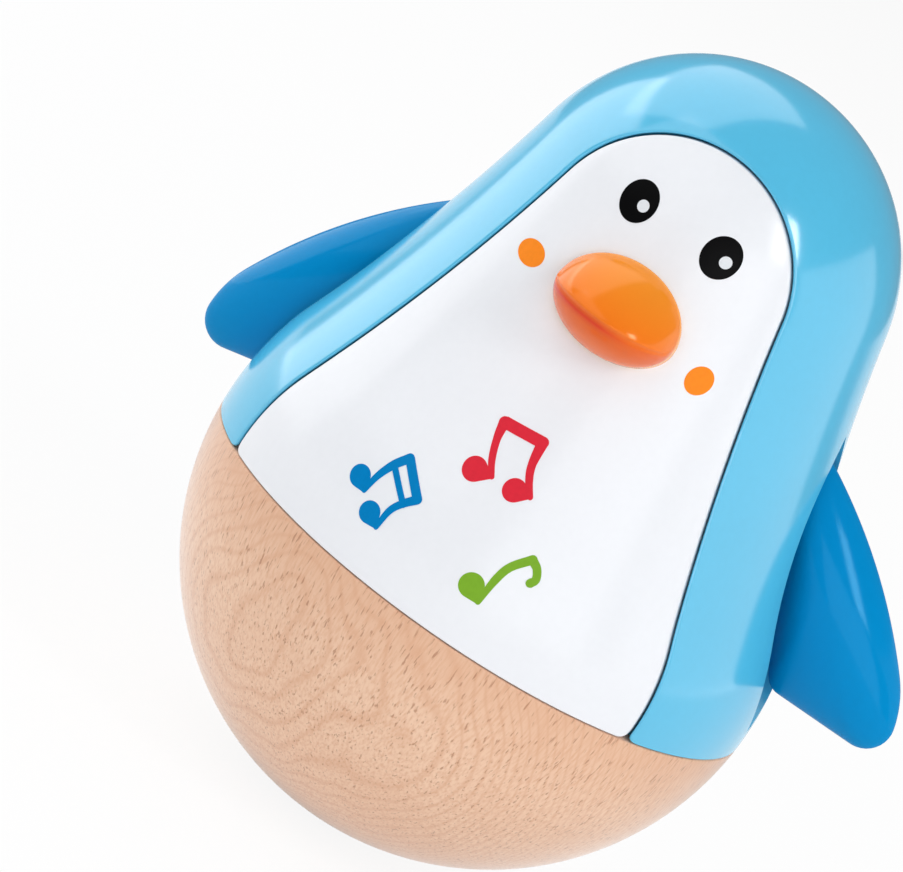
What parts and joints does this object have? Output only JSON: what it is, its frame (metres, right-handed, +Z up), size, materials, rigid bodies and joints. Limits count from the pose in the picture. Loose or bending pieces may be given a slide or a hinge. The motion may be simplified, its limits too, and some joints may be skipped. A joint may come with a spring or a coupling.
{
  "type": "roly poly toy",
  "caption": "Wobbling penguin toy with a weighted beech bowl, a glossy moulded body, a face panel with a beak, two hinged wings and a chime inside.",
  "frame": {"origin": "middle of the small flat under the wooden base", "axes": "+Z up along the toy's axis of revolution, face towards -Y, +X to the viewer's right"},
  "size_m": [0.1191, 0.091, 0.1288],
  "materials": {
    "beech": "sanded beech with a thin matt oil",
    "shell_blue": "glossy light-blue moulding",
    "panel_white": "glossy white moulding with printed eyes, cheeks and music notes",
    "beak_orange": "glossy orange moulding",
    "wing_blue": "glossy deep-blue moulding",
    "inner_white": "plain off-white moulding",
    "ballast_iron": "blackened casting",
    "steel": "bright drawn steel",
    "chime_alloy": "sand-cast alloy",
    "brass": "turned brass"
  },
  "bodies": {
    "toy": {"wood_base": "beech", "ballast": "ballast_iron", "ballast_screws": "steel", "chassis": "inner_white", "chassis_screws": "steel", "body_shell": "shell_blue", "face_panel": "panel_white", "beak": "beak_orange", "beak_screws": "steel", "wing_pin_left": "steel", "wing_pin_right": "steel", "chime_block": "chime_alloy", "chime_screws": "steel", "tone_rod_1": "steel", "tone_rod_2": "steel", "tone_rod_3": "steel", "tone_rod_4": "steel", "tone_rod_5": "steel", "tone_rod_6": "steel", "tone_rod_7": "steel", "tone_rod_8": "steel", "striker_bridge": "inner_white", "bridge_screws": "steel", "link_pin": "steel"},
    "left_wing": {"wing_left": "wing_blue"},
    "right_wing": {"wing_right": "wing_blue"},
    "link": {"striker_link": "brass"},
    "striker": {"striker": "brass", "striker_pin": "steel", "striker_ball": "beech"}
  },
  "joints": [
    {"name": "left_wing_swing", "type": "hinge", "parent": "toy", "child": "left_wing", "pos_m": [-0.02529, 0, 0.0776], "axis": [0, 1, 0], "range_deg": [0, 22]},
    {"name": "right_wing_swing", "type": "hinge", "parent": "toy", "child": "right_wing", "pos_m": [0.02529, 0, 0.0776], "axis": [0, -1, 0], "range_deg": [-16, 6]},
    {"name": "link_swing", "type": "hinge", "parent": "toy", "child": "link", "pos_m": [0, 0, 0.0796], "axis": [1, 0, 0], "range_deg": [-14, 14]},
    {"name": "striker_swing", "type": "hinge", "parent": "link", "child": "striker", "pos_m": [0, 0, 0.0731], "axis": [0, 1, 0], "range_deg": [-20, 20]}
  ]
}
